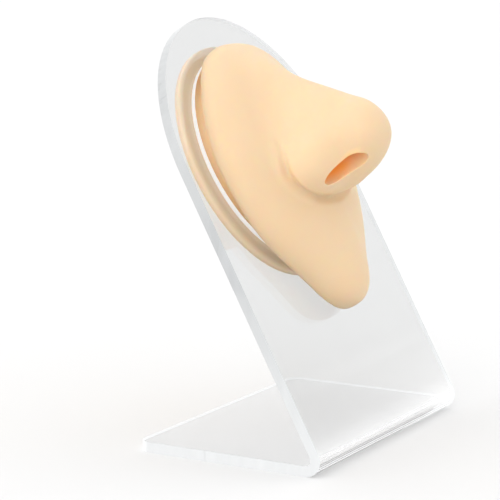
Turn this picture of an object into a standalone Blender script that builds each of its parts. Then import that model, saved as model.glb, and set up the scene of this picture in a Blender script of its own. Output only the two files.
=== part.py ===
"""Silicone display nose held in a bent clear acrylic stand.

The stand is one sheet, folded once: a flat base and a round-topped panel that
leans back over it. The nose is one soft moulding that snaps into the panel's
round hole: a leaf-shaped face plate in front, a neck through the hole and a
round flange behind.

World frame: metres, +Z up, the nose faces -Y, the object is symmetric in X,
and the origin is the middle of the base's flat underside.
"""
import math

import bmesh
import bpy
import numpy as np
from mathutils import Matrix, Vector

MM = 0.001

# Acrylic stand
SHEET = 3.0 * MM
STAND_WIDTH = 90.0 * MM
BASE_LENGTH = 54.3 * MM
BASE_CORNER = 4.0 * MM
BEND_RADIUS = 4.6 * MM
PANEL_LEAN = math.radians(61.5)
PANEL_STRAIGHT = 85.7 * MM
HOLE_RADIUS = 33.0 * MM
HOLE_DROP = 0.6 * MM

# Silicone moulding
NECK_RADIUS = 29.0 * MM
FLANGE_RADIUS = 37.0 * MM
FLANGE_THICKNESS = 3.2 * MM
FLANGE_ROUND = 1.1 * MM
SEAT_GAP = 0.3 * MM

# Face plate. Its top and chin lie so far above and below the hole's middle, and
# the drop is how far below it the plate is widest.
PLATE_WIDTH = 66.4 * MM
PLATE_TOP = 35.1 * MM
PLATE_CHIN = 51.3 * MM
PLATE_DROP = 9.0 * MM
PLATE_CROWN = 11.3 * MM
EDGE_ROUND = 2.4 * MM

# Nose
NOSE_LENGTH = 38.0 * MM
NOSE_HEIGHT = 38.3 * MM
NOSE_WIDTH = 36.0 * MM
NOSE_DROP = 21.0 * MM

# Nostrils
NOSTRIL_LENGTH = 14.8 * MM
NOSTRIL_WIDTH = 7.2 * MM
NOSTRIL_DEPTH = 13.0 * MM
# The mouth's middle, as shares of the nose's width, length and height
NOSTRIL_MOUTH = (0.264, 0.160, 0.675)
# Directions across and along the left mouth: X, up the panel, out
NOSTRIL_ACROSS = (0.805, -0.538, -0.251)
NOSTRIL_ALONG = (0.536, 0.171, 0.827)
NOSTRIL_SEGMENTS = 28
NOSTRIL_RINGS = 16

# Finish
CLEAR_TINT = (0.93, 0.94, 0.94)
CLEAR_ROUGHNESS = 0.05
CLEAR_ALPHA = 0.3
SKIN_TINT = (0.95, 0.72, 0.46)
SKIN_ROUGHNESS = 0.5
SHEET_CREASE = math.radians(30)
SKIN_CREASE = math.radians(40)

# Mesh fineness
ARCH_STEPS = 44
HOLE_STEPS = 64
CORNER_STEPS = 6
BEND_STEPS = 9
RIM_STEPS = 4
FACE_MERIDIANS = 60
FACE_RINGS = 50
RAY_SAMPLES = 260
HALVINGS = 34
HIDDEN_WEIGHT = 0.12
MERGE = 0.01 * MM
ON_PLANE = 0.0001 * MM

# The plate's outline, from the top to the chin, seen square on. Along is a share
# of the reach above the middle (first rows) or below it, half_width of PLATE_WIDTH,
# and fullness is the power of the crown's curve there: 2 is round, more is boxier.
OUTLINE = (
    # along, half_width, fullness
    (1.00, 0.000, 2.20),
    (0.97, 0.154, 2.20),
    (0.89, 0.261, 2.05),
    (0.76, 0.340, 2.00),
    (0.52, 0.438, 2.10),
    (0.26, 0.497, 2.30),
    (0.00, 0.492, 2.20),
    (-0.30, 0.437, 2.05),
    (-0.52, 0.349, 2.20),
    (-0.72, 0.240, 2.40),
    (-0.86, 0.166, 2.55),
    (-0.96, 0.096, 3.20),
    (-1.00, 0.000, 3.60),
)

# Round masses of the nose. Across is a share of NOSE_WIDTH, along of NOSE_LENGTH
# up from the nose's foot, out of NOSE_HEIGHT; the three radii follow the same sizes,
# and melt is the fillet to the masses before it, a share of NOSE_HEIGHT.
MASSES = (
    # name, across, along, out, radius_across, radius_along, radius_out, melt
    ("tip", 0.00, 0.347, 0.776, 0.285, 0.224, 0.230, 0.110),
    ("columella", 0.00, 0.210, 0.525, 0.160, 0.180, 0.320, 0.120),
    ("flank", 0.130, 0.460, 0.400, 0.250, 0.300, 0.340, 0.150),
    ("wing", 0.270, 0.290, 0.395, 0.290, 0.235, 0.300, 0.130),
)

# The bridge is a tapered round bar from between the eyes to the tip.
BRIDGE = (
    # along, out, radius
    (1.00, 0.218, 0.185),
    (0.45, 0.735, 0.225),
)

# Fillet between the nose and the plate. Along is a share of NOSE_LENGTH and melt of
# NOSE_HEIGHT: tight up to the fold under the nose, widening to the bridge's foot.
FILLET = (
    # along, melt
    (0.10, 0.065),
    (0.75, 0.235),
)


def clear_scene():
    """Remove every object, so that the script can be run twice."""
    for thing in list(bpy.data.objects):
        bpy.data.objects.remove(thing, do_unlink=True)


def new_collection(name):
    """Give an empty collection, linked to the scene."""
    collection = bpy.data.collections.get(name) or bpy.data.collections.new(name)
    if collection.name not in bpy.context.scene.collection.children:
        bpy.context.scene.collection.children.link(collection)
    return collection


def principled(name, colour, roughness, alpha=1.0):
    """Give a plain Principled material."""
    material = bpy.data.materials.new(name)
    material.use_nodes = True
    shader = material.node_tree.nodes["Principled BSDF"]
    shader.inputs["Base Color"].default_value = (*colour, 1.0)
    shader.inputs["Roughness"].default_value = roughness
    shader.inputs["Metallic"].default_value = 0.0
    shader.inputs["Alpha"].default_value = alpha
    return material


def arc_points(centre, radius, start, end, steps):
    """Points on an arc, both ends included, angles in radians."""
    angles = [start + (end - start) * i / steps for i in range(steps + 1)]
    return [
        (centre[0] + radius * math.cos(a), centre[1] + radius * math.sin(a)) for a in angles
    ]


def flat_plate(name, loops, thickness):
    """A filled flat outline with holes, as a mesh lying on z = 0 to thickness."""
    curve = bpy.data.curves.new(name, "CURVE")
    curve.dimensions = "2D"
    curve.fill_mode = "BOTH"
    curve.extrude = thickness / 2
    for points in loops:
        spline = curve.splines.new("POLY")
        spline.points.add(len(points) - 1)
        for slot, (x, y) in zip(spline.points, points):
            slot.co = (x, y, 0.0, 1.0)
        spline.use_cyclic_u = True
    source = bpy.data.objects.new(name, curve)
    bpy.context.scene.collection.objects.link(source)
    bpy.context.view_layer.update()
    depsgraph = bpy.context.evaluated_depsgraph_get()
    mesh = bpy.data.meshes.new_from_object(source.evaluated_get(depsgraph))
    bpy.data.objects.remove(source, do_unlink=True)
    bpy.data.curves.remove(curve)
    work = bmesh.new()
    work.from_mesh(mesh)
    bmesh.ops.remove_doubles(work, verts=work.verts, dist=MERGE)
    bmesh.ops.translate(work, verts=work.verts, vec=(0.0, 0.0, thickness / 2))
    work.to_mesh(mesh)
    work.free()
    return mesh


# Where the panel stands, and where its round top begins along the blank
BEND_ANGLE = math.pi - PANEL_LEAN
BEND_LENGTH = BEND_RADIUS * BEND_ANGLE
SHOULDER = BASE_LENGTH + BEND_LENGTH + PANEL_STRAIGHT
UP_PANEL = Vector((0.0, math.cos(PANEL_LEAN), math.sin(PANEL_LEAN)))
BASE_FRONT = -BASE_LENGTH / 2


def fold(x, run, depth):
    """Place a point of the flat blank on the folded sheet.

    run is measured from the base's back edge along the outer face, and depth
    from that outer face inwards.
    """
    if run <= BASE_LENGTH:
        return Vector((x, BASE_LENGTH / 2 - run, depth))
    turn = min((run - BASE_LENGTH) / BEND_RADIUS, BEND_ANGLE)
    arm = BEND_RADIUS - depth
    bent = Vector(
        (x, BASE_FRONT - arm * math.sin(turn), BEND_RADIUS - arm * math.cos(turn))
    )
    beyond = max(run - BASE_LENGTH - BEND_LENGTH, 0.0)
    return bent + UP_PANEL * beyond


def blank_outline():
    """The flat blank: rounded back corners at run 0 and a half-round top."""
    inner = STAND_WIDTH / 2 - BASE_CORNER
    quarter = math.pi / 2
    left = (-inner, BASE_CORNER)
    right = (inner, BASE_CORNER)
    points = arc_points(left, BASE_CORNER, math.pi, math.pi + quarter, CORNER_STEPS)
    points += arc_points(right, BASE_CORNER, -quarter, 0.0, CORNER_STEPS)
    points += arc_points((0.0, SHOULDER), STAND_WIDTH / 2, 0.0, math.pi, ARCH_STEPS)
    return points


def build_stand(collection, material):
    """The folded sheet with its round hole."""
    step = 2 * math.pi / HOLE_STEPS
    hole = arc_points(
        (0.0, SHOULDER - HOLE_DROP), HOLE_RADIUS, 0.0, 2 * math.pi - step, HOLE_STEPS - 1
    )
    mesh = flat_plate("acrylic_stand", [blank_outline(), hole], SHEET)
    work = bmesh.new()
    work.from_mesh(mesh)
    for i in range(BEND_STEPS + 1):
        run = BASE_LENGTH + BEND_LENGTH * i / BEND_STEPS
        everything = list(work.verts) + list(work.edges) + list(work.faces)
        bmesh.ops.bisect_plane(
            work,
            geom=everything,
            dist=ON_PLANE,
            plane_co=(0.0, run, 0.0),
            plane_no=(0.0, 1.0, 0.0),
        )
    for vert in work.verts:
        vert.co = fold(vert.co.x, vert.co.y, vert.co.z)
    bmesh.ops.recalc_face_normals(work, faces=work.faces)
    if work.calc_volume(signed=True) < 0:
        bmesh.ops.reverse_faces(work, faces=work.faces)
    work.to_mesh(mesh)
    work.free()
    stand = bpy.data.objects.new("acrylic_stand", mesh)
    collection.objects.link(stand)
    stand.data.materials.clear()
    stand.data.materials.append(material)
    mesh.shade_smooth()
    mesh.set_sharp_from_angle(angle=SHEET_CREASE)
    return stand


def panel_frame():
    """The matrix of the hole's middle on the panel's outer face: X, up the panel, out."""
    frame = Matrix.Rotation(PANEL_LEAN, 4, "X")
    frame.translation = fold(0.0, SHOULDER - HOLE_DROP, 0.0)
    return frame


def smooth_curve(values, knots, at):
    """A smooth curve through the knots, level or upright where it turns."""
    slopes = np.gradient(values, knots)
    which = np.clip(np.searchsorted(knots, at) - 1, 0, len(knots) - 2)
    left = knots[which]
    span = knots[which + 1] - left
    t = (at - left) / span
    h00 = (1 + 2 * t) * (1 - t) ** 2
    h10 = t * (1 - t) ** 2
    h01 = t * t * (3 - 2 * t)
    h11 = t * t * (t - 1)
    return (
        h00 * values[which]
        + h10 * span * slopes[which]
        + h01 * values[which + 1]
        + h11 * span * slopes[which + 1]
    )


def outline_reach():
    """The outline's distance from the plate's middle and its fullness, at each angle.

    The rows are the right half; the angle runs from straight down to straight up.
    """
    angles = []
    reaches = []
    fullness = []
    for along, half_width, power in reversed(OUTLINE):
        upward = PLATE_TOP + PLATE_DROP
        downward = PLATE_CHIN - PLATE_DROP
        y = along * (upward if along > 0 else downward)
        x = half_width * PLATE_WIDTH
        angles.append(math.atan2(y, x) if (x or y) else 0.0)
        reaches.append(math.hypot(x, y))
        fullness.append(power)
    return np.array(angles), np.array(reaches), np.array(fullness)


OUTLINE_ANGLES, OUTLINE_REACHES, OUTLINE_FULLNESS = outline_reach()


def round_plate(values, angle):
    """A value of the outline's rows at an angle, the two halves being mirror images."""
    folded = np.arctan2(np.sin(angle), np.abs(np.cos(angle)))
    knots = np.concatenate(
        (
            [-math.pi - OUTLINE_ANGLES[1]],
            OUTLINE_ANGLES,
            [math.pi - OUTLINE_ANGLES[-2]],
        )
    )
    mirrored = np.concatenate(([values[1]], values, [values[-2]]))
    return smooth_curve(mirrored, knots, folded)


def smooth_union(a, b, melt):
    """Join two solids' distances, with a soft fillet of about the melt's width."""
    share = np.clip(0.5 + 0.5 * (b - a) / melt, 0.0, 1.0)
    return b * (1 - share) + a * share - melt * share * (1 - share)


def ellipsoid(x, y, z, centre, radii):
    """About the distance to an ellipsoid, negative inside it."""
    px = (x - centre[0]) / radii[0]
    py = (y - centre[1]) / radii[1]
    pz = (z - centre[2]) / radii[2]
    near = np.sqrt(px**2 + py**2 + pz**2) + 1e-9
    slope = np.sqrt((px / radii[0]) ** 2 + (py / radii[1]) ** 2 + (pz / radii[2]) ** 2) + 1e-9
    return near * (near - 1) / slope


def tapered_bar(x, y, z, start, end, radius_start, radius_end):
    """The distance to a round bar in the middle plane that tapers between two points."""
    run_y = end[0] - start[0]
    run_z = end[1] - start[1]
    length = run_y**2 + run_z**2
    t = np.clip(((y - start[0]) * run_y + (z - start[1]) * run_z) / length, 0.0, 1.0)
    off_y = y - start[0] - t * run_y
    off_z = z - start[1] - t * run_z
    radius = radius_start + (radius_end - radius_start) * t
    return np.sqrt(x**2 + off_y**2 + off_z**2) - radius


def face_field(x, y, z):
    """Below zero inside the plate and the nose, above zero outside."""
    angle = np.arctan2(y + PLATE_DROP, x)
    reach = round_plate(OUTLINE_REACHES, angle)
    power = round_plate(OUTLINE_FULLNESS, angle)
    run = np.hypot(x, y + PLATE_DROP)
    share = np.minimum(run / reach, 1.0)
    seam = SEAT_GAP + EDGE_ROUND
    front = seam + PLATE_CROWN * (1 - share**power) ** (1 / power)
    inset = np.clip(1 - (reach - run) / EDGE_ROUND, 0.0, 1.0)
    back = seam - EDGE_ROUND * np.sqrt(1 - inset**2)
    solid = z - front
    side = np.abs(x)
    rise = (y + NOSE_DROP) / NOSE_LENGTH
    (top, top_out, top_radius), (foot, foot_out, foot_radius) = BRIDGE
    nose = tapered_bar(
        x,
        y,
        z,
        (top * NOSE_LENGTH - NOSE_DROP, top_out * NOSE_HEIGHT),
        (foot * NOSE_LENGTH - NOSE_DROP, foot_out * NOSE_HEIGHT),
        top_radius * NOSE_HEIGHT,
        foot_radius * NOSE_HEIGHT,
    )
    for _name, across, along, out, wide, tall, deep, melt in MASSES:
        centre = (
            across * NOSE_WIDTH,
            along * NOSE_LENGTH - NOSE_DROP,
            out * NOSE_HEIGHT,
        )
        radii = (wide * NOSE_WIDTH, tall * NOSE_LENGTH, deep * NOSE_HEIGHT)
        mass = ellipsoid(side, y, z, centre, radii)
        nose = smooth_union(nose, mass, melt * NOSE_HEIGHT)
    (fold_top, fold_melt), (bridge_foot, bridge_melt) = FILLET
    t = np.clip((rise - fold_top) / (bridge_foot - fold_top), 0.0, 1.0)
    fillet = fold_melt + (bridge_melt - fold_melt) * t * t * (3 - 2 * t)
    solid = smooth_union(solid, nose, fillet * NOSE_HEIGHT)
    solid = np.where(share < 1.0, solid, np.maximum(solid, run - reach))
    return np.maximum(solid, back - z)


def ray_ends(directions, start):
    """Where rays from a point inside the face leave it."""
    near = np.zeros(directions.shape[:-1])
    far = np.full(directions.shape[:-1], PLATE_CHIN + PLATE_TOP)
    for _round in range(HALVINGS):
        middle = (near + far) / 2
        place = start + directions * middle[..., None]
        inside = face_field(place[..., 0], place[..., 1], place[..., 2]) < 0
        near = np.where(inside, middle, near)
        far = np.where(inside, far, middle)
    return start + directions * near[..., None]


def even_rings(line, count):
    """Spread points evenly along a line of points, fewer over the hidden back."""
    steps = np.linalg.norm(np.diff(line, axis=0), axis=1)
    hidden = (line[1:, 2] + line[:-1, 2]) / 2 < SEAT_GAP + EDGE_ROUND / 4
    steps = steps * np.where(hidden, HIDDEN_WEIGHT, 1.0)
    travelled = np.concatenate(([0.0], np.cumsum(steps)))
    wanted = np.linspace(0.0, travelled[-1], count + 2)[1:-1]
    return np.stack([np.interp(wanted, travelled, line[:, k]) for k in range(3)], axis=1)


def face_mesh():
    """A sphere's net of verts, each moved out along its ray to the face's surface."""
    start = np.array((0.0, -PLATE_DROP, SEAT_GAP + 2 * EDGE_ROUND))
    work = bmesh.new()
    tilt = np.linspace(0.0, math.pi, RAY_SAMPLES)
    rings = []
    for i in range(FACE_MERIDIANS):
        heading = 2 * math.pi * i / FACE_MERIDIANS
        directions = np.stack(
            (
                np.sin(tilt) * math.cos(heading),
                np.sin(tilt) * math.sin(heading),
                np.cos(tilt),
            ),
            axis=1,
        )
        line = ray_ends(directions, start)
        if i == 0:
            front_pole = work.verts.new(line[0])
            back_pole = work.verts.new(line[-1])
        rings.append([work.verts.new(p) for p in even_rings(line, FACE_RINGS)])
    for i, here in enumerate(rings):
        there = rings[(i + 1) % FACE_MERIDIANS]
        work.faces.new((front_pole, here[0], there[0]))
        for j in range(FACE_RINGS - 1):
            work.faces.new((here[j], here[j + 1], there[j + 1], there[j]))
        work.faces.new((back_pole, there[-1], here[-1]))
    bmesh.ops.recalc_face_normals(work, faces=work.faces)
    mesh = bpy.data.meshes.new("silicone_nose")
    work.to_mesh(mesh)
    work.free()
    return mesh


def as_tool(thing, tools):
    """Put a helper solid in the cutters' collection, as a wire outline."""
    for collection in list(thing.users_collection):
        collection.objects.unlink(thing)
    tools.objects.link(thing)
    thing.hide_render = True
    thing.display_type = "WIRE"
    return thing


def boolean(target, tool, operation):
    """Add an exact Boolean."""
    modifier = target.modifiers.new(f"{operation.lower()}_{tool.name}", "BOOLEAN")
    modifier.operation = operation
    modifier.solver = "EXACT"
    modifier.object = tool


def stem_tool(frame, tools):
    """The neck and the round-rimmed flange, turned in one about the hole's axis."""
    front = SEAT_GAP + EDGE_ROUND
    seat = -SHEET - SEAT_GAP
    rear = seat - FLANGE_THICKNESS
    rim = FLANGE_RADIUS - FLANGE_ROUND
    profile = [(0.0, front), (NECK_RADIUS, front), (NECK_RADIUS, seat)]
    quarter = math.pi / 2
    profile += arc_points((rim, seat - FLANGE_ROUND), FLANGE_ROUND, quarter, 0.0, RIM_STEPS)
    profile += arc_points((rim, rear + FLANGE_ROUND), FLANGE_ROUND, 0.0, -quarter, RIM_STEPS)
    profile += [(0.0, rear)]
    work = bmesh.new()
    verts = [work.verts.new((r, 0.0, z)) for r, z in profile]
    for upper, lower in zip(verts, verts[1:]):
        work.edges.new((upper, lower))
    mesh = bpy.data.meshes.new("stem_tool")
    work.to_mesh(mesh)
    work.free()
    stem = bpy.data.objects.new("stem_tool", mesh)
    bpy.context.scene.collection.objects.link(stem)
    # Half a step round, so that no corner of the neck lies on the mirror plane
    stem.matrix_world = frame @ Matrix.Rotation(math.pi / HOLE_STEPS, 4, "Z")
    screw = stem.modifiers.new("turned", "SCREW")
    screw.steps = HOLE_STEPS
    screw.render_steps = HOLE_STEPS
    screw.use_merge_vertices = True
    screw.merge_threshold = MERGE
    return as_tool(stem, tools)


def nostril_tool(side, frame, tools):
    """A long round hollow, opening on the nose's underside beside the columella."""
    across = Vector(NOSTRIL_ACROSS)
    length = Vector(NOSTRIL_ALONG)
    across.x *= -side
    length.x *= -side
    inward = length.cross(across)
    turn = Matrix((across.normalized(), inward.normalized(), length.normalized())).transposed()
    across_share, along_share, out_share = NOSTRIL_MOUTH
    mouth = Vector(
        (
            side * across_share * NOSE_WIDTH,
            along_share * NOSE_LENGTH - NOSE_DROP,
            out_share * NOSE_HEIGHT,
        )
    )
    bpy.ops.mesh.primitive_uv_sphere_add(
        segments=NOSTRIL_SEGMENTS, ring_count=NOSTRIL_RINGS, radius=1.0
    )
    tool = bpy.context.object
    tool.name = f"nostril_tool_{'left' if side < 0 else 'right'}"
    stretch = Matrix.Diagonal((NOSTRIL_WIDTH / 2, NOSTRIL_DEPTH, NOSTRIL_LENGTH / 2, 1.0))
    tool.data.transform(turn.to_4x4() @ stretch)
    tool.matrix_world = frame @ Matrix.Translation(mouth)
    return as_tool(tool, tools)


def build_nose(collection, tools, material):
    """The moulding: face plate and nose, neck and flange, with two nostrils."""
    frame = panel_frame()
    nose = bpy.data.objects.new("silicone_nose", face_mesh())
    collection.objects.link(nose)
    nose.matrix_world = frame
    nose.data.materials.append(material)
    for side in (-1, 1):
        boolean(nose, nostril_tool(side, frame, tools), "DIFFERENCE")
    boolean(nose, stem_tool(frame, tools), "UNION")
    nose.data.shade_smooth()
    nose.data.set_sharp_from_angle(angle=SKIN_CREASE)
    return nose


def main():
    clear_scene()
    parts = new_collection("display_nose")
    tools = new_collection("cutters")
    clear = principled("clear_acrylic", CLEAR_TINT, CLEAR_ROUGHNESS, CLEAR_ALPHA)
    soft = principled("skin_silicone", SKIN_TINT, SKIN_ROUGHNESS)
    build_stand(parts, clear)
    build_nose(parts, tools, soft)


main()
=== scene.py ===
"""Silicone display nose on a bent clear acrylic stand: its finish, light and camera.

Run as a script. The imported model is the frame: the sheet is its stand with
eased edges, and the skin is its moulding with the facets smoothed away.
"""
import math

import bmesh
import bpy
from bpy.props import (
    FloatProperty,
    FloatVectorProperty,
    IntProperty,
    PointerProperty,
)
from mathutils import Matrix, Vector
from mathutils.kdtree import KDTree


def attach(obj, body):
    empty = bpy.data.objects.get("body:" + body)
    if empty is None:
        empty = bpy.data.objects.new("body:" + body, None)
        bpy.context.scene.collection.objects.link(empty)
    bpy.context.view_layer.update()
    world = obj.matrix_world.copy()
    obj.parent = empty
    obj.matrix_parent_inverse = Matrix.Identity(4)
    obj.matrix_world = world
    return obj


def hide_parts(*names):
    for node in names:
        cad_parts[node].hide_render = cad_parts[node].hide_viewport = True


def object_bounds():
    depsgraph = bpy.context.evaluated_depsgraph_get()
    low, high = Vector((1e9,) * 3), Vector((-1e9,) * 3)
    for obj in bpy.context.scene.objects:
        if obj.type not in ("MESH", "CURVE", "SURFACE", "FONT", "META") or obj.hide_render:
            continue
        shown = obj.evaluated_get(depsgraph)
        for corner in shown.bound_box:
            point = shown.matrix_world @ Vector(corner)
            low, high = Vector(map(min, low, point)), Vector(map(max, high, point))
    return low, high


bl_info = {
    "name": "Display Nose",
    "version": (1, 0, 0),
    "blender": (4, 5, 0),
    "location": "View3D > Sidebar > Display Nose",
    "description": "Dresses a silicone nose and its clear acrylic stand",
    "category": "Object",
}

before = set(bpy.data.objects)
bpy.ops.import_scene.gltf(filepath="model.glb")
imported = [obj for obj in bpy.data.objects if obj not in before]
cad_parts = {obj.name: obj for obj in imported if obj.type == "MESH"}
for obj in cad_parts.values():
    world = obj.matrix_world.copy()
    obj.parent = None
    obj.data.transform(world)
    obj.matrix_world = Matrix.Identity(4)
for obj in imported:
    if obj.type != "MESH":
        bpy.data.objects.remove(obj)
CAD_BOX = [list(corner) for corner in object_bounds()]
BODY = "root"

MM = 0.001

# Where the photograph was taken from, in the frame's metres and degrees
CAMERA_PLACE = (-0.4789, -0.2588, 0.1426)
CAMERA_AZIMUTH = -60.157
CAMERA_ELEVATION = 9.245
PHOTO_FOCAL_PX = 1867.9
PHOTO_WIDTH_PX = 500.0
SENSOR_MM = 36.0

# Where the lamps hang as seen from the stand
KEY_FROM = (-1.0, 0.25, 0.50)
FILL_FROM = (0.9, -0.10, 0.9)

# How near and how far the lens sees, and the paper floor under the stand
CLIP_NEAR = 0.01
CLIP_FAR = 50.0
FLOOR_RADIUS = 9.0
FLOOR_SIDES = 96
FLOOR_GAP = 0.02 * MM

# The sheet: how far the panel leans, the hole on the panel's front face, the
# thickness, and the height that the bend stays below
PANEL_LEAN = math.radians(61.5)
PANEL_OUT = Vector((0.0, -math.sin(PANEL_LEAN), math.cos(PANEL_LEAN)))
HOLE_MIDDLE = Vector((0.0, 9.41 * MM, 81.58 * MM))
HOLE_RADIUS = 33.0 * MM
SHEET = 3.0 * MM
BEND_TOP = 8.0 * MM

# The sheet's eased edges: their segments, and the angles at which an edge is eased
# and at which it shades crisp
EASED_SEGMENTS = 2
EASED_ANGLE = math.radians(50)
CRISP_ANGLE = math.radians(28)

# A wall's normal points at least this much along the sheet's width, or at most this
# much out of its broad faces
SIDEWAYS = 0.9
OUTWARD = 0.1

# Where the sheet's looks change, as stops of (place along one axis, share): the
# panel's tint, painted darker than the base's; the painted glow of the base, the bend
# and the edges; the edge's grey; and the painted dark reflection on the panel's edge
PANEL_PAINTED_SHADE_BY_HEIGHT = ((4.0 * MM, 0.0), (26.0 * MM, 1.0))
BASE_PAINTED_GLOW_BY_HEIGHT = ((5.0 * MM, 1.0), (11.0 * MM, 0.0))
BEND_PAINTED_GLOW_BY_Y = ((-31.0 * MM, 1.0), (-26.0 * MM, 0.0))
PANEL_EDGE_BY_HEIGHT = ((3.0 * MM, 0.0), (12.0 * MM, 1.0))
PAINTED_REFLECTION_BY_HEIGHT = ((47.0 * MM, 0.0), (50.0 * MM, 1.0), (60.0 * MM, 0.7), (76.0 * MM, 0.0))
NEAR_PAINTED_GLOW_BY_HEIGHT = ((8.0 * MM, 0.0), (52.0 * MM, 1.0))
FAR_PAINTED_GLOW_BY_X = ((-12.0 * MM, 0.0), (22.0 * MM, 1.0))
REAR_PAINTED_GLOW_BY_Y = ((24.0 * MM, 0.0), (26.5 * MM, 1.0))
REAR_PAINTED_GLOW_BY_HEIGHT = ((3.5 * MM, 1.0), (6.0 * MM, 0.0))

# Materials: black, how much each bends light, how much silicone shines and how far red,
# green and blue travel in it, the tone of the edge's pale streaks, and the greyer tones
# of the sawn wall's teeth and the paper's fibres
BLACK = (0.0, 0.0, 0.0, 1.0)
ACRYLIC_IOR = 1.49
SILICONE_IOR = 1.41
SILICONE_SHINE = 0.35
SILICONE_TRAVEL = (1.0, 0.42, 0.17)
PALE_STREAK = (0.60, 0.61, 0.61, 1.0)
GREY_TOOTH = (0.96, 0.97, 0.97, 1.0)
GREY_FIBRE = (0.785, 0.785, 0.785, 1.0)

# How strongly each noise and the painted dark reflection on the edge show, as shares
# of a colour, a roughness or a height
CLOUD_CONTRAST = 1.7
CLOUD_START = 0.35
GRAIN_ROUGHNESS = 0.12
RIPPLE_HEIGHT = 0.6
SMEAR_HAZE = 0.25
SMEAR_ROUGHNESS = 0.02
FINE_HEIGHT = 0.02
PAINTED_REFLECTION_DARKNESS = 0.8
STREAK_PALENESS = 0.25
STREAK_ROUGHNESS = 0.15
TOOTH_ROUGHNESS = 0.25
FIBRE_GREYNESS = 0.1
FIBRE_ROUGHNESS = 0.05

# How rough the edge, the sawn wall and the paper are, and how little the paper shines
EDGE_ROUGHNESS = 0.22
SAWN_ROUGHNESS = 0.35
PAPER_ROUGHNESS = 0.9
PAPER_SHINE = 0.1

# The nostril on the +X side: its mouth's middle, its three directions, its half width
# and half length, and its depth
NOSTRIL_MOUTH = (9.50 * MM, -20.43 * MM, 80.81 * MM)
NOSTRIL_ACROSS = (-0.805, -0.036, -0.593)
NOSTRIL_ALONG = (-0.536, -0.645, 0.545)
NOSTRIL_INWARD = (-0.402, 0.756, 0.500)
NOSTRIL_HALF_WIDTH = 3.6 * MM
NOSTRIL_HALF_LENGTH = 7.4 * MM
NOSTRIL_DEPTH = 13.0 * MM

# Where the nostrils' looks change, as stops of (share of those sizes, share of the look)
NOSTRIL_BY_REACH = ((0.96, 1.0), (1.22, 0.0))
NOSTRIL_BY_INWARD = ((-0.08, 0.0), (0.28, 1.0))
NOSTRIL_BY_PAINTED_SHADE = ((-0.35, 0.0), (0.75, 1.0))

# A nostril's painted shade deepens inwards and towards its lower end, by these shares
PAINTED_SHADE_INWARD = 1.2
PAINTED_SHADE_ALONG = 0.55

# Where the flange shows through the sheet, as stops of (place, share), measured
# outwards from the panel's front face. There the flange is painted paler and given a
# painted glow.
BEHIND_SHEET = ((-6.2 * MM, 0.0), (-4.6 * MM, 1.0), (-3.2 * MM, 1.0), (-2.9 * MM, 0.0))

# The skin away from the nostrils' rims, and the smoothing that it takes. A rim is a
# sharp edge near a nostril's wall, and smoothing fades out towards it.
OPEN_SKIN = "open_skin"
SMOOTH_FACTOR = 0.5
WELD = 0.001 * MM
RIM_ANGLE = math.radians(35)
RIM_SLACK = 0.25
RIM_INWARD = 0.5
RIM_SHARES = (0.0, 0.25, 0.5, 0.75, 1.0)
RIM_FADE = 2.0 * MM

# Where each point of the skin lay before the lips and the crease moved it
MOULDED = "moulded_place"

# The middle of the upper rim on the +X side, and how far round it the rim is drawn
# over the opening
LIP_MIDDLE = Vector((11.6 * MM, -20.0 * MM, 84.9 * MM))
LIP_SPREAD = 5.0 * MM

# The crease round the wing and under the nose on the +X side, top to middle, in mm. It
# is full below one height and ends at the other.
CREASE = (
    (16.6, -2.4, 89.5),
    (18.9, -5.6, 84.9),
    (20.1, -6.7, 82.2),
    (20.3, -7.8, 79.2),
    (18.6, -10.0, 75.5),
    (16.2, -11.4, 73.6),
    (12.9, -12.4, 72.4),
    (9.2, -12.6, 71.3),
    (3.2, -12.9, 70.7),
    (0.0, -12.9, 70.6),
)
CREASE_STEPS = 12
CREASE_FULL = 80.0 * MM
CREASE_END = 89.5 * MM


class Wire:
    """One output in a node tree. Sums written with it add Math nodes."""

    def __init__(self, net, socket):
        self.net = net
        self.socket = socket

    def math(self, operation, first, second):
        node = self.net.add("ShaderNodeMath", {"operation": operation}, {0: first, 1: second})
        return self.net.out(node)

    def __add__(self, other):
        return self.math("ADD", self, other)

    def __radd__(self, other):
        return self.math("ADD", other, self)

    def __sub__(self, other):
        return self.math("SUBTRACT", self, other)

    def __rsub__(self, other):
        return self.math("SUBTRACT", other, self)

    def __mul__(self, other):
        return self.math("MULTIPLY", self, other)

    def __rmul__(self, other):
        return self.math("MULTIPLY", other, self)

    def __truediv__(self, other):
        return self.math("DIVIDE", self, other)

    def __rtruediv__(self, other):
        return self.math("DIVIDE", other, self)

    def __pow__(self, other):
        return self.math("POWER", self, other)

    def __rpow__(self, other):
        return self.math("POWER", other, self)


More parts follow.
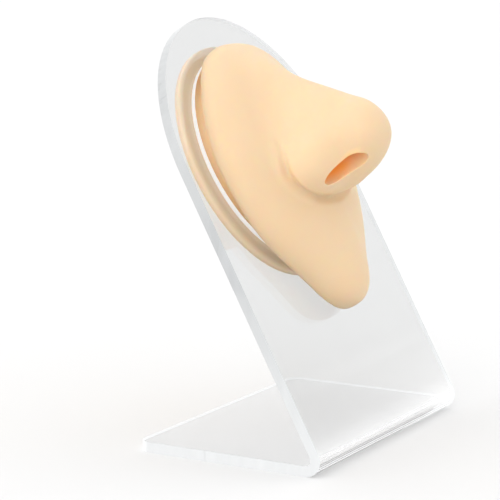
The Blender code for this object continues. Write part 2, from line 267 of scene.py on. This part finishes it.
class Net:
    """A node tree that is filled from Python expressions."""

    def __init__(self, tree):
        self.tree = tree
        tree.nodes.clear()

    def add(self, kind, settings=None, sockets=None):
        """Add a node: its settings first, then the values or links of its sockets."""
        node = self.tree.nodes.new(kind)
        for name, value in (settings or {}).items():
            if name == "stops":
                self.set_stops(node.color_ramp, value)
            else:
                setattr(node, name, value)
        for name, value in (sockets or {}).items():
            target = node.inputs[name]
            if isinstance(value, Wire):
                self.tree.links.new(value.socket, target)
            else:
                target.default_value = value
        return node

    @staticmethod
    def set_stops(ramp, stops):
        """Give a colour ramp its stops, as (position, grey)."""
        while len(ramp.elements) > 1:
            ramp.elements.remove(ramp.elements[-1])
        for i, (position, grey) in enumerate(stops):
            element = ramp.elements[0] if i == 0 else ramp.elements.new(position)
            element.position = position
            element.color = (grey, grey, grey, 1.0)

    def out(self, node, name=0):
        """A node's output as a Wire."""
        return Wire(self, node.outputs[name])

    def place(self):
        """Places on the model, in metres."""
        return self.out(self.add("ShaderNodeTexCoord"), "Object")

    def noise(self, place, per_metre, detail=2.0, roughness=0.5):
        """Soft noise from 0 to 1, so many lumps to the metre."""
        node = self.add(
            "ShaderNodeTexNoise",
            None,
            {"Vector": place, "Scale": per_metre, "Detail": detail, "Roughness": roughness},
        )
        return self.out(node, "Fac")

    def vector(self, operation, *sides, result=0):
        """Vector maths on one vector or two."""
        node = self.add("ShaderNodeVectorMath", {"operation": operation}, dict(enumerate(sides)))
        return self.out(node, result)

    def stretch(self, place, scale):
        """Places scaled along each axis."""
        return self.vector("MULTIPLY", place, scale)

    def blend(self, share, first, second):
        """One colour turning into another."""
        node = self.add(
            "ShaderNodeMix",
            {"data_type": "RGBA", "clamp_factor": True},
            {"Factor": share, "A": first, "B": second},
        )
        return self.out(node, "Result")

    def bump(self, height, strength, distance):
        """A normal that rises and falls with a height."""
        node = self.add(
            "ShaderNodeBump",
            None,
            {"Height": height, "Strength": strength, "Distance": distance},
        )
        return self.out(node)

    def part(self, vector, axis):
        """One part of a vector: "X", "Y" or "Z"."""
        return self.out(self.add("ShaderNodeSeparateXYZ", None, {0: vector}), axis)

    def along(self, vector, direction):
        """How far a vector reaches in a direction."""
        return self.vector("DOT_PRODUCT", vector, direction, result="Value")

    def ramp(self, value, *stops):
        """A grey that follows a value through stops of (value, grey)."""
        low, high = stops[0][0], stops[-1][0]
        shares = [((at - low) / (high - low), grey) for at, grey in stops]
        share = (value - low) * (1.0 / (high - low))
        return self.out(self.add("ShaderNodeValToRGB", {"stops": shares}, {"Fac": share}), "Color")


def colour(rgb):
    """A property's colour with full alpha."""
    return (*tuple(rgb)[:3], 1.0)


def new_material(name):
    """An empty node material and its net."""
    material = bpy.data.materials.new(name)
    material.use_nodes = True
    return material, Net(material.node_tree)


def nostril_masks(net, place):
    """Inside either nostril: how surely, and how near its lower end, where its painted shade is
    darkest.
    """
    width = net.part(net.vector("ABSOLUTE", place), "X")
    mirrored = net.add(
        "ShaderNodeCombineXYZ",
        None,
        {0: width, 1: net.part(place, "Y"), 2: net.part(place, "Z")},
    )
    offset = net.vector("SUBTRACT", net.out(mirrored), NOSTRIL_MOUTH)
    across = net.along(offset, NOSTRIL_ACROSS) / NOSTRIL_HALF_WIDTH
    along = net.along(offset, NOSTRIL_ALONG) / NOSTRIL_HALF_LENGTH
    inward = net.along(offset, NOSTRIL_INWARD) / NOSTRIL_DEPTH
    reach = (across * across + along * along + inward * inward) ** 0.5
    inside = net.ramp(reach, *NOSTRIL_BY_REACH) * net.ramp(inward, *NOSTRIL_BY_INWARD)
    deep = net.ramp(inward * PAINTED_SHADE_INWARD - along * PAINTED_SHADE_ALONG, *NOSTRIL_BY_PAINTED_SHADE)
    return inside, deep


def skin_material(look):
    """Soft matte silicone: light goes in and comes out warm, with a fine moulded grain.

    The nostrils are painted a warm glowing colour that turns to painted shade at their
    deep ends, and the flange behind the sheet is painted paler and glowing.
    """
    material, net = new_material("skin_silicone")
    place = net.place()
    cloud = net.noise(place, per_metre=45.0)
    grain = net.noise(place, per_metre=2400.0, detail=3.0, roughness=0.6)
    ripple = net.noise(place, per_metre=420.0)
    clouded = cloud * CLOUD_CONTRAST - CLOUD_START
    tone = net.blend(clouded, colour(look.colour), colour(look.warm))
    moulded = net.add("ShaderNodeAttribute", {"attribute_name": MOULDED})
    inside, deep = nostril_masks(net, net.out(moulded, "Vector"))
    from_hole = net.vector("SUBTRACT", place, HOLE_MIDDLE)
    # Painted light: where the flange lies behind the sheet it is painted paler and given a painted
    # glow
    behind = net.ramp(net.along(from_hole, PANEL_OUT), *BEHIND_SHEET)
    tone = net.blend(behind, tone, colour(look.pressed))
    flange_painted_glow = net.blend(behind, BLACK, colour(look.flange_painted_glow))
    # Painted light: the nostrils get a warm painted glow colour, turning to painted shade towards
    # their deep lower ends
    painted_hollow = net.blend(deep, colour(look.nostril_rim_painted_light), colour(look.nostril_deep_painted_shade))
    surface = net.add(
        "ShaderNodeBsdfPrincipled",
        {"subsurface_method": "RANDOM_WALK"},
        {
            "Base Color": net.blend(inside, tone, painted_hollow),
            "Emission Color": net.blend(inside, flange_painted_glow, colour(look.nostril_painted_glow)),
            "Emission Strength": 1.0,
            "Roughness": look.roughness + (grain - 0.5) * GRAIN_ROUGHNESS,
            "Normal": net.bump(
                grain + ripple * RIPPLE_HEIGHT, strength=0.22, distance=0.05 * MM
            ),
            "Subsurface Weight": look.glow,
            "Subsurface Radius": SILICONE_TRAVEL,
            "Subsurface Scale": look.depth,
            "IOR": SILICONE_IOR,
            "Specular IOR Level": SILICONE_SHINE,
        },
    )
    net.add("ShaderNodeOutputMaterial", None, {"Surface": net.out(surface)})
    return material


def clear_material(look):
    """Clear sheet that bends light, and lets lamps through to what lies behind. The panel's tint
    is painted darker than the base's, and the base and the bend are given a painted glow.
    """
    material, net = new_material("clear_acrylic")
    place = net.place()
    smear = net.noise(net.stretch(place, (1.0, 1.0, 0.35)), per_metre=55.0, detail=3.0)
    fine = net.noise(place, per_metre=900.0)
    height = net.part(place, "Z")
    # Painted shade: the panel's tint is darker than the base's, though both are one sheet
    panel_painted_shade = net.ramp(height, *PANEL_PAINTED_SHADE_BY_HEIGHT)
    tint = net.blend(panel_painted_shade, colour(look.base_lit_tint), colour(look.panel_shaded_tint))
    # Painted glow: the base lets out a faint light, brighter along the bend
    in_bend = net.ramp(net.part(place, "Y"), *BEND_PAINTED_GLOW_BY_Y)
    sheet_painted_glow = net.blend(in_bend, colour(look.base_painted_glow), colour(look.bend_painted_glow))
    in_base = net.ramp(height, *BASE_PAINTED_GLOW_BY_HEIGHT)
    glass = net.add(
        "ShaderNodeBsdfPrincipled",
        None,
        {
            "Base Color": net.blend(smear * SMEAR_HAZE, tint, colour(look.haze)),
            "Roughness": look.roughness + smear * SMEAR_ROUGHNESS,
            "Normal": net.bump(
                smear + fine * FINE_HEIGHT, strength=0.05, distance=0.05 * MM
            ),
            "Emission Color": net.blend(in_base, BLACK, sheet_painted_glow),
            "Emission Strength": 1.0,
            "Transmission Weight": 1.0,
            "IOR": ACRYLIC_IOR,
        },
    )
    open_way = net.add("ShaderNodeBsdfTransparent", None, {"Color": colour(look.shadow)})
    path = net.add("ShaderNodeLightPath")
    both = net.add(
        "ShaderNodeMixShader",
        None,
        {"Fac": net.out(path, "Is Shadow Ray"), 1: net.out(glass), 2: net.out(open_way)},
    )
    net.add("ShaderNodeOutputMaterial", None, {"Surface": net.out(both)})
    return material


def edge_material(look):
    """The sheet's polished outer edge, with soft grey streaks, a painted dark reflection high on
    the panel's edge, and a painted glow that is brighter on the +X side and at the back.
    """
    material, net = new_material("acrylic_edge")
    place = net.place()
    height = net.part(place, "Z")
    streaks = net.noise(net.stretch(place, (3.0, 1.0, 0.15)), per_metre=260.0)
    panel = net.ramp(height, *PANEL_EDGE_BY_HEIGHT)
    # Painted reflection: a dark streak high on the panel's edge
    dark = net.ramp(height, *PAINTED_REFLECTION_BY_HEIGHT)
    grey = net.blend(panel, colour(look.base_edge), colour(look.panel_edge))
    grey = net.blend(dark * PAINTED_REFLECTION_DARKNESS, grey, colour(look.edge_painted_reflection))
    # Painted glow: the edges glow dimmer on the -X side, brighter there near the floor, and
    # brightest on the +X side and along the base's back edge
    far_side = net.ramp(net.part(place, "X"), *FAR_PAINTED_GLOW_BY_X)
    rear = net.ramp(net.part(place, "Y"), *REAR_PAINTED_GLOW_BY_Y)
    low = net.ramp(height, *REAR_PAINTED_GLOW_BY_HEIGHT)
    upper = net.ramp(height, *NEAR_PAINTED_GLOW_BY_HEIGHT)
    near = net.blend(upper, colour(look.low_painted_glow), colour(look.near_painted_glow))
    glow = net.blend(far_side + rear * low, near, colour(look.far_painted_glow))
    surface = net.add(
        "ShaderNodeBsdfPrincipled",
        None,
        {
            "Emission Color": glow,
            "Emission Strength": 1.0,
            "Base Color": net.blend(streaks * STREAK_PALENESS, grey, PALE_STREAK),
            "Roughness": EDGE_ROUGHNESS + streaks * STREAK_ROUGHNESS,
            "Normal": net.bump(streaks, strength=0.1, distance=0.05 * MM),
            "IOR": ACRYLIC_IOR,
        },
    )
    net.add("ShaderNodeOutputMaterial", None, {"Surface": net.out(surface)})
    return material


def cut_material(look):
    """The hole's cut wall, left white by the saw instead of polished, and given a painted glow
    that makes it a bright line.
    """
    material, net = new_material("acrylic_sawn")
    place = net.place()
    tooth = net.noise(net.stretch(place, (1.0, 3.0, 1.0)), per_metre=1400.0)
    surface = net.add(
        "ShaderNodeBsdfPrincipled",
        None,
        {
            "Base Color": net.blend(tooth, colour(look.sawn), GREY_TOOTH),
            "Roughness": SAWN_ROUGHNESS + tooth * TOOTH_ROUGHNESS,
            "Normal": net.bump(tooth, strength=0.3, distance=0.08 * MM),
            # Painted glow: the hole's wall lets out light, a bright line that no lamp makes
            "Emission Color": colour(look.sawn),
            "Emission Strength": look.sawn_painted_glow,
            "IOR": ACRYLIC_IOR,
        },
    )
    net.add("ShaderNodeOutputMaterial", None, {"Surface": net.out(surface)})
    return material


def floor_material(look):
    """Plain pale paper."""
    material, net = new_material("studio_paper")
    fibre = net.noise(net.place(), per_metre=300.0)
    surface = net.add(
        "ShaderNodeBsdfPrincipled",
        None,
        {
            "Base Color": net.blend(fibre * FIBRE_GREYNESS, colour(look.floor), GREY_FIBRE),
            "Roughness": PAPER_ROUGHNESS - fibre * FIBRE_ROUGHNESS,
            "Specular IOR Level": PAPER_SHINE,
        },
    )
    net.add("ShaderNodeOutputMaterial", None, {"Surface": net.out(surface)})
    return material


def copy_of(node, name):
    """A node's mesh as a new object, in the same place."""
    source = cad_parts[node]
    piece = bpy.data.objects.new(name, source.data.copy())
    piece.data.materials.clear()
    bpy.context.scene.collection.objects.link(piece)
    piece.matrix_world = source.matrix_world.copy()
    return piece


def settle(piece):
    """Take a piece's modifiers into its mesh."""
    bpy.context.view_layer.update()
    depsgraph = bpy.context.evaluated_depsgraph_get()
    mesh = bpy.data.meshes.new_from_object(piece.evaluated_get(depsgraph))
    piece.modifiers.clear()
    old = piece.data
    piece.data = mesh
    bpy.data.meshes.remove(old)


def finish_piece(piece, node):
    """Let a piece stand for its node and ride on the object's one body."""
    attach(piece, BODY)
    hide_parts(node)


class StandLook(bpy.types.PropertyGroup):
    """The clear sheet's finish, with its painted tint, glow and reflection."""

    edge: FloatProperty(
        name="Eased edge",
        description="Width of the polished bevel along each cut edge",
        default=0.25 * MM,
        min=0.0,
        subtype="DISTANCE",
        unit="LENGTH",
    )
    roughness: FloatProperty(
        name="Roughness",
        description="How much the faces blur what they reflect",
        default=0.02,
        min=0.0,
        max=1.0,
        subtype="FACTOR",
    )
    # Painted shade: the panel is given a darker tint than the base, though both are one sheet
    panel_shaded_tint: FloatVectorProperty(
        name="Panel tint",
        description="Colour of the light that comes through the panel",
        default=(0.75, 0.755, 0.755),
        size=3,
        subtype="COLOR",
    )
    base_lit_tint: FloatVectorProperty(
        name="Base tint",
        description="Colour of the light that comes through the base",
        default=(0.96, 0.96, 0.96),
        size=3,
        subtype="COLOR",
    )
    # Painted glow on the base's faces, brighter along the bend
    base_painted_glow: FloatVectorProperty(
        name="Base glow",
        description="Light that the base gathers and lets out at its faces",
        default=(0.04, 0.04, 0.04),
        size=3,
        subtype="COLOR",
    )
    bend_painted_glow: FloatVectorProperty(
        name="Bend glow",
        description="Light that the bend gathers and lets out",
        default=(0.09, 0.09, 0.09),
        size=3,
        subtype="COLOR",
    )
    haze: FloatVectorProperty(
        name="Haze",
        description="Colour where the sheet was wiped",
        default=(0.86, 0.865, 0.865),
        size=3,
        subtype="COLOR",
    )
    shadow: FloatVectorProperty(
        name="Shadow",
        description="How much lamp light passes the sheet",
        default=(1.0, 1.0, 1.0),
        size=3,
        subtype="COLOR",
    )
    base_edge: FloatVectorProperty(
        name="Base edge",
        description="Colour of the polished edge round the base",
        default=(0.22, 0.225, 0.225),
        size=3,
        subtype="COLOR",
    )
    panel_edge: FloatVectorProperty(
        name="Panel edge",
        description="Colour of the polished edge round the panel",
        default=(0.20, 0.205, 0.205),
        size=3,
        subtype="COLOR",
    )
    # Painted glow on the edges: dimmer on the -X side, brighter there near the floor, and
    # brightest on the +X side and at the back
    near_painted_glow: FloatVectorProperty(
        name="Near edge glow",
        description="Light let out by the edges on the -X side",
        default=(0.33, 0.335, 0.34),
        size=3,
        subtype="COLOR",
    )
    low_painted_glow: FloatVectorProperty(
        name="Low edge glow",
        description="Light let out by the edges on the -X side close to the floor",
        default=(0.52, 0.525, 0.53),
        size=3,
        subtype="COLOR",
    )
    far_painted_glow: FloatVectorProperty(
        name="Far edge glow",
        description="Light let out by the edges on the +X side and at the back",
        default=(0.72, 0.73, 0.74),
        size=3,
        subtype="COLOR",
    )
    # Painted reflection: a dark streak high on the panel's edge
    edge_painted_reflection: FloatVectorProperty(
        name="Edge streak",
        description="Colour of the dark streak in the panel's edge",
        default=(0.15, 0.155, 0.16),
        size=3,
        subtype="COLOR",
    )
    sawn: FloatVectorProperty(
        name="Sawn wall",
        description="Colour of the hole's unpolished wall",
        default=(0.99, 0.99, 0.99),
        size=3,
        subtype="COLOR",
    )
    # Painted glow on the hole's wall
    sawn_painted_glow: FloatProperty(
        name="Sawn glow",
        description="Light that the sheet gathers and lets out at the hole's wall",
        default=0.5,
        min=0.0,
    )


class SkinLook(bpy.types.PropertyGroup):
    """The silicone's surface and colour, with the painted light in the nostrils and on the flange
    behind the sheet.
    """

    cuts: IntProperty(
        name="Cuts",
        description="New points along each edge of the moulding's facets",
        default=3,
        min=0,
        max=3,
    )
    softening: IntProperty(
        name="Softening",
        description="Rounds of smoothing away from the nostrils' rims",
        default=22,
        min=0,
    )
    lip: FloatProperty(
        name="Lip",
        description="How far each nostril's upper rim is drawn over the opening",
        default=1.9 * MM,
        min=0.0,
        subtype="DISTANCE",
        unit="LENGTH",
    )
    crease: FloatProperty(
        name="Crease depth",
        description="How far the crease round the nose is pressed in",
        default=1.7 * MM,
        min=0.0,
        subtype="DISTANCE",
        unit="LENGTH",
    )
    crease_width: FloatProperty(
        name="Crease width",
        description="Half the width of that crease",
        default=1.0 * MM,
        min=0.1 * MM,
        subtype="DISTANCE",
        unit="LENGTH",
    )
    colour: FloatVectorProperty(
        name="Colour",
        description="The silicone's main colour",
        default=(0.79, 0.600, 0.392),
        size=3,
        subtype="COLOR",
    )
    warm: FloatVectorProperty(
        name="Warm patches",
        description="The slightly warmer tone that clouds it",
        default=(0.79, 0.585, 0.368),
        size=3,
        subtype="COLOR",
    )
    # Painted light: the flange behind the sheet is painted this paler tone
    pressed: FloatVectorProperty(
        name="Behind the sheet",
        description="Paler tone where the flange lies against the sheet",
        default=(0.97, 0.76, 0.54),
        size=3,
        subtype="COLOR",
    )
    # Painted glow on the flange behind the sheet
    flange_painted_glow: FloatVectorProperty(
        name="Gathered light",
        description="Light that the clear sheet passes on to the flange behind it",
        default=(0.22, 0.155, 0.105),
        size=3,
        subtype="COLOR",
    )
    # Painted light in the nostrils: a warm rim colour, a painted glow, and painted shade at the
    # deep end
    nostril_rim_painted_light: FloatVectorProperty(
        name="Nostril rim",
        description="Colour just inside a nostril",
        default=(1.0, 0.68, 0.32),
        size=3,
        subtype="COLOR",
    )
    nostril_painted_glow: FloatVectorProperty(
        name="Nostril glow",
        description="Light that comes through the thin silicone into a nostril",
        default=(0.12, 0.055, 0.005),
        size=3,
        subtype="COLOR",
    )
    nostril_deep_painted_shade: FloatVectorProperty(
        name="Nostril depth",
        description="Colour at the lower, deep end of a nostril",
        default=(0.90, 0.36, 0.08),
        size=3,
        subtype="COLOR",
    )
    roughness: FloatProperty(
        name="Roughness",
        description="Matte finish of the moulded skin",
        default=0.55,
        min=0.0,
        max=1.0,
        subtype="FACTOR",
    )
    glow: FloatProperty(
        name="Glow",
        description="Share of the light that travels inside the silicone",
        default=0.7,
        min=0.0,
        max=1.0,
        subtype="FACTOR",
    )
    depth: FloatProperty(
        name="Glow depth",
        description="How far light travels inside the silicone",
        default=1.0 * MM,
        min=0.0,
        subtype="DISTANCE",
        unit="LENGTH",
    )


class StudioLook(bpy.types.PropertyGroup):
    """The floor and the light."""

    floor: FloatVectorProperty(
        name="Floor",
        description="Colour of the paper under the stand",
        default=(0.80, 0.80, 0.80),
        size=3,
        subtype="COLOR",
    )
    sky: FloatProperty(
        name="Sky",
        description="Strength of the even light from all round",
        default=1.06,
        min=0.0,
    )
    sun: FloatProperty(
        name="Key light",
        description="Strength of the broad soft light from the upper left",
        default=1.25,
        min=0.0,
    )
    fill: FloatProperty(
        name="Fill light",
        description="Strength of the weak light from the right",
        default=0.18,
        min=0.0,
    )
    sun_spread: FloatProperty(
        name="Key spread",
        description="How broad the key light is, seen from the stand",
        default=math.radians(70.0),
        min=0.0,
        max=math.pi,
        subtype="ANGLE",
        unit="ROTATION",
    )


class DISPLAYNOSE_OT_sheet(bpy.types.Operator):
    """Give the folded sheet eased edges and a clear finish."""

    bl_idname = "display_nose.sheet"
    bl_label = "Acrylic Sheet"

    def execute(self, context):
        look = context.scene.display_nose_stand
        piece = copy_of("acrylic_stand", "acrylic_sheet")
        mark_walls(piece.data)
        bevel = piece.modifiers.new("eased_edges", "BEVEL")
        bevel.width = look.edge
        bevel.segments = EASED_SEGMENTS
        bevel.limit_method = "ANGLE"
        bevel.angle_limit = EASED_ANGLE
        settle(piece)
        piece.data.materials.append(clear_material(look))
        piece.data.materials.append(edge_material(look))
        piece.data.materials.append(cut_material(look))
        piece.data.shade_smooth()
        piece.data.set_sharp_from_angle(angle=CRISP_ANGLE)
        finish_piece(piece, "acrylic_stand")
        return {"FINISHED"}


class DISPLAYNOSE_OT_skin(bpy.types.Operator):
    """Smooth the moulding's facets into one soft skin."""

    bl_idname = "display_nose.skin"
    bl_label = "Silicone Skin"

    def execute(self, context):
        look = context.scene.display_nose_skin
        piece = copy_of("silicone_nose", "nose_skin")
        rim = divide_skin(piece.data, look.cuts)
        mark_open_skin(piece, rim)
        smooth = piece.modifiers.new("soft_skin", "SMOOTH")
        smooth.factor = SMOOTH_FACTOR
        smooth.iterations = look.softening
        smooth.vertex_group = OPEN_SKIN
        settle(piece)
        press_creases(piece.data, look)
        piece.data.materials.append(skin_material(look))
        piece.data.shade_smooth()
        finish_piece(piece, "silicone_nose")
        return {"FINISHED"}


class DISPLAYNOSE_OT_studio(bpy.types.Operator):
    """Lay the floor, hang the light and set the camera."""

    bl_idname = "display_nose.studio"
    bl_label = "Studio"

    def execute(self, context):
        look = context.scene.display_nose_studio
        lay_floor(look)
        light_studio(context.scene, look)
        set_camera(context.scene)
        return {"FINISHED"}


class DISPLAYNOSE_PT_panel(bpy.types.Panel):
    """Lists the pieces and their settings."""

    bl_idname = "DISPLAYNOSE_PT_panel"
    bl_label = "Display Nose"
    bl_space_type = "VIEW_3D"
    bl_region_type = "UI"
    bl_category = "Display Nose"

    def draw(self, context):
        for settings, action in SECTIONS:
            box = self.layout.box()
            group = getattr(context.scene, settings)
            for name in group.__annotations__:
                box.prop(group, name)
            box.operator(action)


SECTIONS = (
    ("display_nose_stand", "display_nose.sheet"),
    ("display_nose_skin", "display_nose.skin"),
    ("display_nose_studio", "display_nose.studio"),
)


def nostril_reach(place):
    """How far a place is from a nostril's middle, as shares of its half sizes."""
    offset = Vector((abs(place.x), place.y, place.z)) - Vector(NOSTRIL_MOUTH)
    return Vector(
        (
            offset.dot(Vector(NOSTRIL_ACROSS)) / NOSTRIL_HALF_WIDTH,
            offset.dot(Vector(NOSTRIL_ALONG)) / NOSTRIL_HALF_LENGTH,
            offset.dot(Vector(NOSTRIL_INWARD)) / NOSTRIL_DEPTH,
        )
    )


def divide_skin(mesh, cuts):
    """Cut the facets finer, and give the places of the nostrils' crisp upper rims."""
    work = bmesh.new()
    work.from_mesh(mesh)
    bmesh.ops.remove_doubles(work, verts=work.verts, dist=WELD)
    rim = []
    for edge in work.edges:
        if edge.calc_face_angle(0.0) < RIM_ANGLE:
            continue
        middle = nostril_reach((edge.verts[0].co + edge.verts[1].co) / 2)
        if abs(middle.length - 1.0) < RIM_SLACK and middle.x < 0.0 and middle.z < RIM_INWARD:
            start, end = (vert.co.copy() for vert in edge.verts)
            rim += [start.lerp(end, share) for share in RIM_SHARES]
    bmesh.ops.subdivide_edges(work, edges=work.edges, cuts=cuts, use_grid_fill=True)
    work.to_mesh(mesh)
    work.free()
    return rim


def tree_of(places):
    """A tree that finds the nearest of some places."""
    tree = KDTree(len(places))
    for i, place in enumerate(places):
        tree.insert(place, i)
    tree.balance()
    return tree


def mark_open_skin(piece, rim):
    """A vertex group that is full on the skin and fades out at the nostrils' rims."""
    group = piece.vertex_groups.new(name=OPEN_SKIN)
    tree = tree_of(rim)
    for vert in piece.data.vertices:
        distance = tree.find(vert.co)[2]
        group.add([vert.index], min(distance / RIM_FADE, 1.0), "REPLACE")


def press_creases(mesh, look):
    """Draw the nostrils' upper rims over the openings, and press in the nose's crease."""
    places = [Vector(place) * MM for place in CREASE]
    line = [
        start.lerp(end, step / CREASE_STEPS)
        for start, end in zip(places, places[1:])
        for step in range(CREASE_STEPS)
    ] + places[-1:]
    tree = tree_of(line)
    moulded = mesh.attributes.new(MOULDED, "FLOAT_VECTOR", "POINT")
    moves = []
    for vert in mesh.vertices:
        moulded.data[vert.index].vector = vert.co
        side = -1.0 if vert.co.x < 0.0 else 1.0
        here = Vector((abs(vert.co.x), vert.co.y, vert.co.z))
        lip = math.exp(-(((here - LIP_MIDDLE).length / LIP_SPREAD) ** 2)) * look.lip
        fade = min(max((CREASE_END - here.z) / (CREASE_END - CREASE_FULL), 0.0), 1.0)
        groove = math.exp(-((tree.find(here)[2] / look.crease_width) ** 2)) * look.crease * fade
        across = Vector((NOSTRIL_ACROSS[0] * side, *NOSTRIL_ACROSS[1:]))
        moves.append(across * lip - vert.normal * groove)
    for vert, move in zip(mesh.vertices, moves):
        vert.co += move


def mark_walls(mesh):
    """Give the sheet's outer edge the second material and the hole's wall the third."""
    for face in mesh.polygons:
        normal = face.normal
        in_base = face.center.z < BEND_TOP
        broad = Vector((0.0, 0.0, 1.0)) if in_base else PANEL_OUT
        side = abs(normal.x) > SIDEWAYS
        end = abs(normal.dot(broad)) < OUTWARD and (not in_base or face.center.y > 0)
        if side or end:
            in_hole = (face.center - HOLE_MIDDLE).length < HOLE_RADIUS + SHEET
            face.material_index = 2 if in_hole else 1


def lay_floor(look):
    """A wide round sheet of paper."""
    mesh = bpy.data.meshes.new("studio_floor")
    work = bmesh.new()
    bmesh.ops.create_circle(work, cap_ends=True, segments=FLOOR_SIDES, radius=FLOOR_RADIUS)
    work.to_mesh(mesh)
    work.free()
    floor = bpy.data.objects.new("studio_floor", mesh)
    bpy.context.scene.collection.objects.link(floor)
    floor.location.z = CAD_BOX[0][2] - FLOOR_GAP
    mesh.materials.append(floor_material(look))


def light_studio(scene, look):
    """Even white light from all round, a broad key on the left and a weak fill."""
    world = bpy.data.worlds.new("studio_sky")
    world.use_nodes = True
    scene.world = world
    net = Net(world.node_tree)
    glow = net.add(
        "ShaderNodeBackground", None, {"Color": (1.0, 1.0, 1.0, 1.0), "Strength": look.sky}
    )
    net.add("ShaderNodeOutputWorld", None, {"Surface": net.out(glow)})
    for name, strength, place in (
        ("key_light", look.sun, KEY_FROM),
        ("fill_light", look.fill, FILL_FROM),
    ):
        lamp = bpy.data.lights.new(name, "SUN")
        lamp.energy = strength
        lamp.angle = look.sun_spread
        hung = bpy.data.objects.new(name, lamp)
        scene.collection.objects.link(hung)
        hung.location = place
        hung.rotation_euler = (-Vector(place)).to_track_quat("-Z", "Y").to_euler()
    scene.view_settings.view_transform = "Standard"


def set_camera(scene):
    """The photograph's own viewpoint, level and square."""
    lens = bpy.data.cameras.new("photo_camera")
    lens.sensor_width = SENSOR_MM
    lens.lens = PHOTO_FOCAL_PX / PHOTO_WIDTH_PX * SENSOR_MM
    lens.clip_start = CLIP_NEAR
    lens.clip_end = CLIP_FAR
    camera = bpy.data.objects.new("photo_camera", lens)
    scene.collection.objects.link(camera)
    camera.location = CAMERA_PLACE
    camera.rotation_euler = (
        math.radians(90.0 - CAMERA_ELEVATION),
        0.0,
        math.radians(CAMERA_AZIMUTH),
    )
    scene.camera = camera


CLASSES = (
    StandLook,
    SkinLook,
    StudioLook,
    DISPLAYNOSE_OT_sheet,
    DISPLAYNOSE_OT_skin,
    DISPLAYNOSE_OT_studio,
    DISPLAYNOSE_PT_panel,
)


def register():
    for kind in CLASSES:
        bpy.utils.register_class(kind)
    bpy.types.Scene.display_nose_stand = PointerProperty(type=StandLook)
    bpy.types.Scene.display_nose_skin = PointerProperty(type=SkinLook)
    bpy.types.Scene.display_nose_studio = PointerProperty(type=StudioLook)


def unregister():
    del bpy.types.Scene.display_nose_studio
    del bpy.types.Scene.display_nose_skin
    del bpy.types.Scene.display_nose_stand
    for kind in reversed(CLASSES):
        bpy.utils.unregister_class(kind)


def main():
    register()
    bpy.ops.display_nose.sheet()
    bpy.ops.display_nose.skin()
    bpy.ops.display_nose.studio()


if __name__ == "__main__":
    main()
